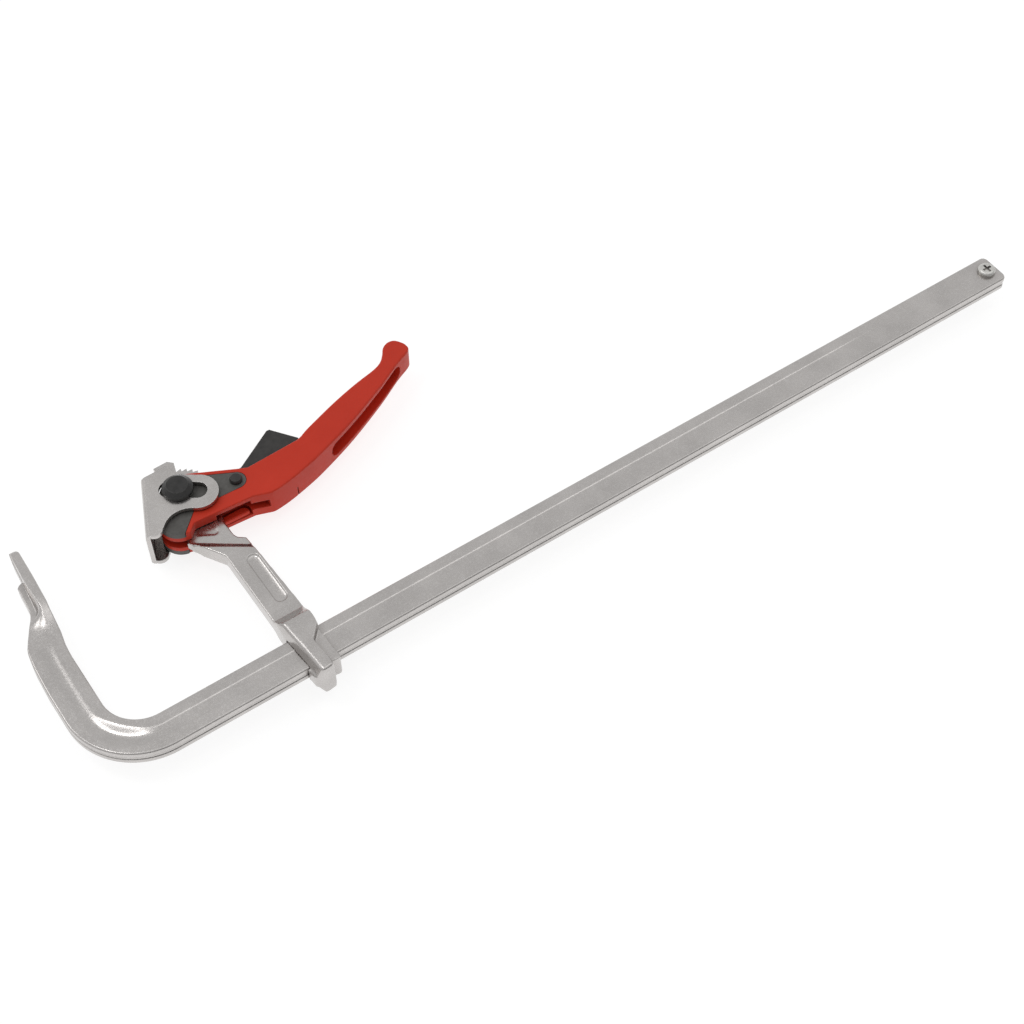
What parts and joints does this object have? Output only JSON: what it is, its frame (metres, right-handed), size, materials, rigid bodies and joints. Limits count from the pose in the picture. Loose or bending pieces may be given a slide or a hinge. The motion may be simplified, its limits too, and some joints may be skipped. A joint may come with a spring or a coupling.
{
  "type": "ratchet welding clamp",
  "caption": "F-shaped lever clamp: rail with forged fixed jaw, arm sliding along it, and a red cam lever with ratchet pawl that presses a swivelling shoe towards the anvil.",
  "frame": {"origin": "centre of the anvil face, in the clamp's middle plane", "axes": "+X along the rail from the anvil towards the free end, +Y from the rail towards the jaws, +Z out of the clamp's flat side"},
  "size_m": [0.6867, 0.195, 0.0385],
  "materials": {
    "bright_steel": "grainy bright-plated forging",
    "zinc_screw": "plain zinc",
    "red_paint": "semi-gloss paint on a casting",
    "slate_plate": "dark phosphated steel",
    "pawl_black": "satin black",
    "pin_black": "black oxide"
  },
  "bodies": {
    "rail_body": {"rail": "bright_steel", "stop_screw": "zinc_screw"},
    "arm_body": {"sliding_arm": "bright_steel"},
    "lever_body": {"lever": "red_paint", "cam_plate_upper": "slate_plate", "cam_plate_lower": "slate_plate", "pawl_rivet": "pin_black", "pawl_spring": "zinc_screw"},
    "pawl_body": {"pawl": "pawl_black"},
    "pivot_body": {"pivot_pin": "pin_black", "pivot_ring": "pin_black"},
    "shoe_body": {"pressure_shoe": "bright_steel"}
  },
  "joints": [
    {"name": "arm_slide", "type": "slide", "parent": "rail_body", "child": "arm_body", "axis": [1, 0, 0], "range_m": [-0.055, 0.518]},
    {"name": "lever_hinge", "type": "hinge", "parent": "arm_body", "child": "lever_body", "pos_m": [0.102, 0.0087, 0], "axis": [0, 0, 1], "range_deg": [-25.8, 25.8]},
    {"name": "pawl_hinge", "type": "hinge", "parent": "lever_body", "child": "pawl_body", "pos_m": [0.1363, -0.0024, 0], "axis": [0, 0, 1], "range_deg": [-7, 6.2], "stiffness_Nm_per_rad": 0.3},
    {"name": "shoe_swivel", "type": "hinge", "parent": "arm_body", "child": "pivot_body", "pos_m": [0.102, 0.0087, 0], "axis": [0, 0, 1], "range_deg": [-12, 6]},
    {"name": "shoe_slide", "type": "slide", "parent": "pivot_body", "child": "shoe_body", "axis": [-0.809, 0.5878, 0], "range_m": [-0.0055, 0.0055]}
  ],
  "couplings": [
    {"joint": "shoe_slide", "follows": "lever_hinge", "m_per_rad": -0.012}
  ]
}
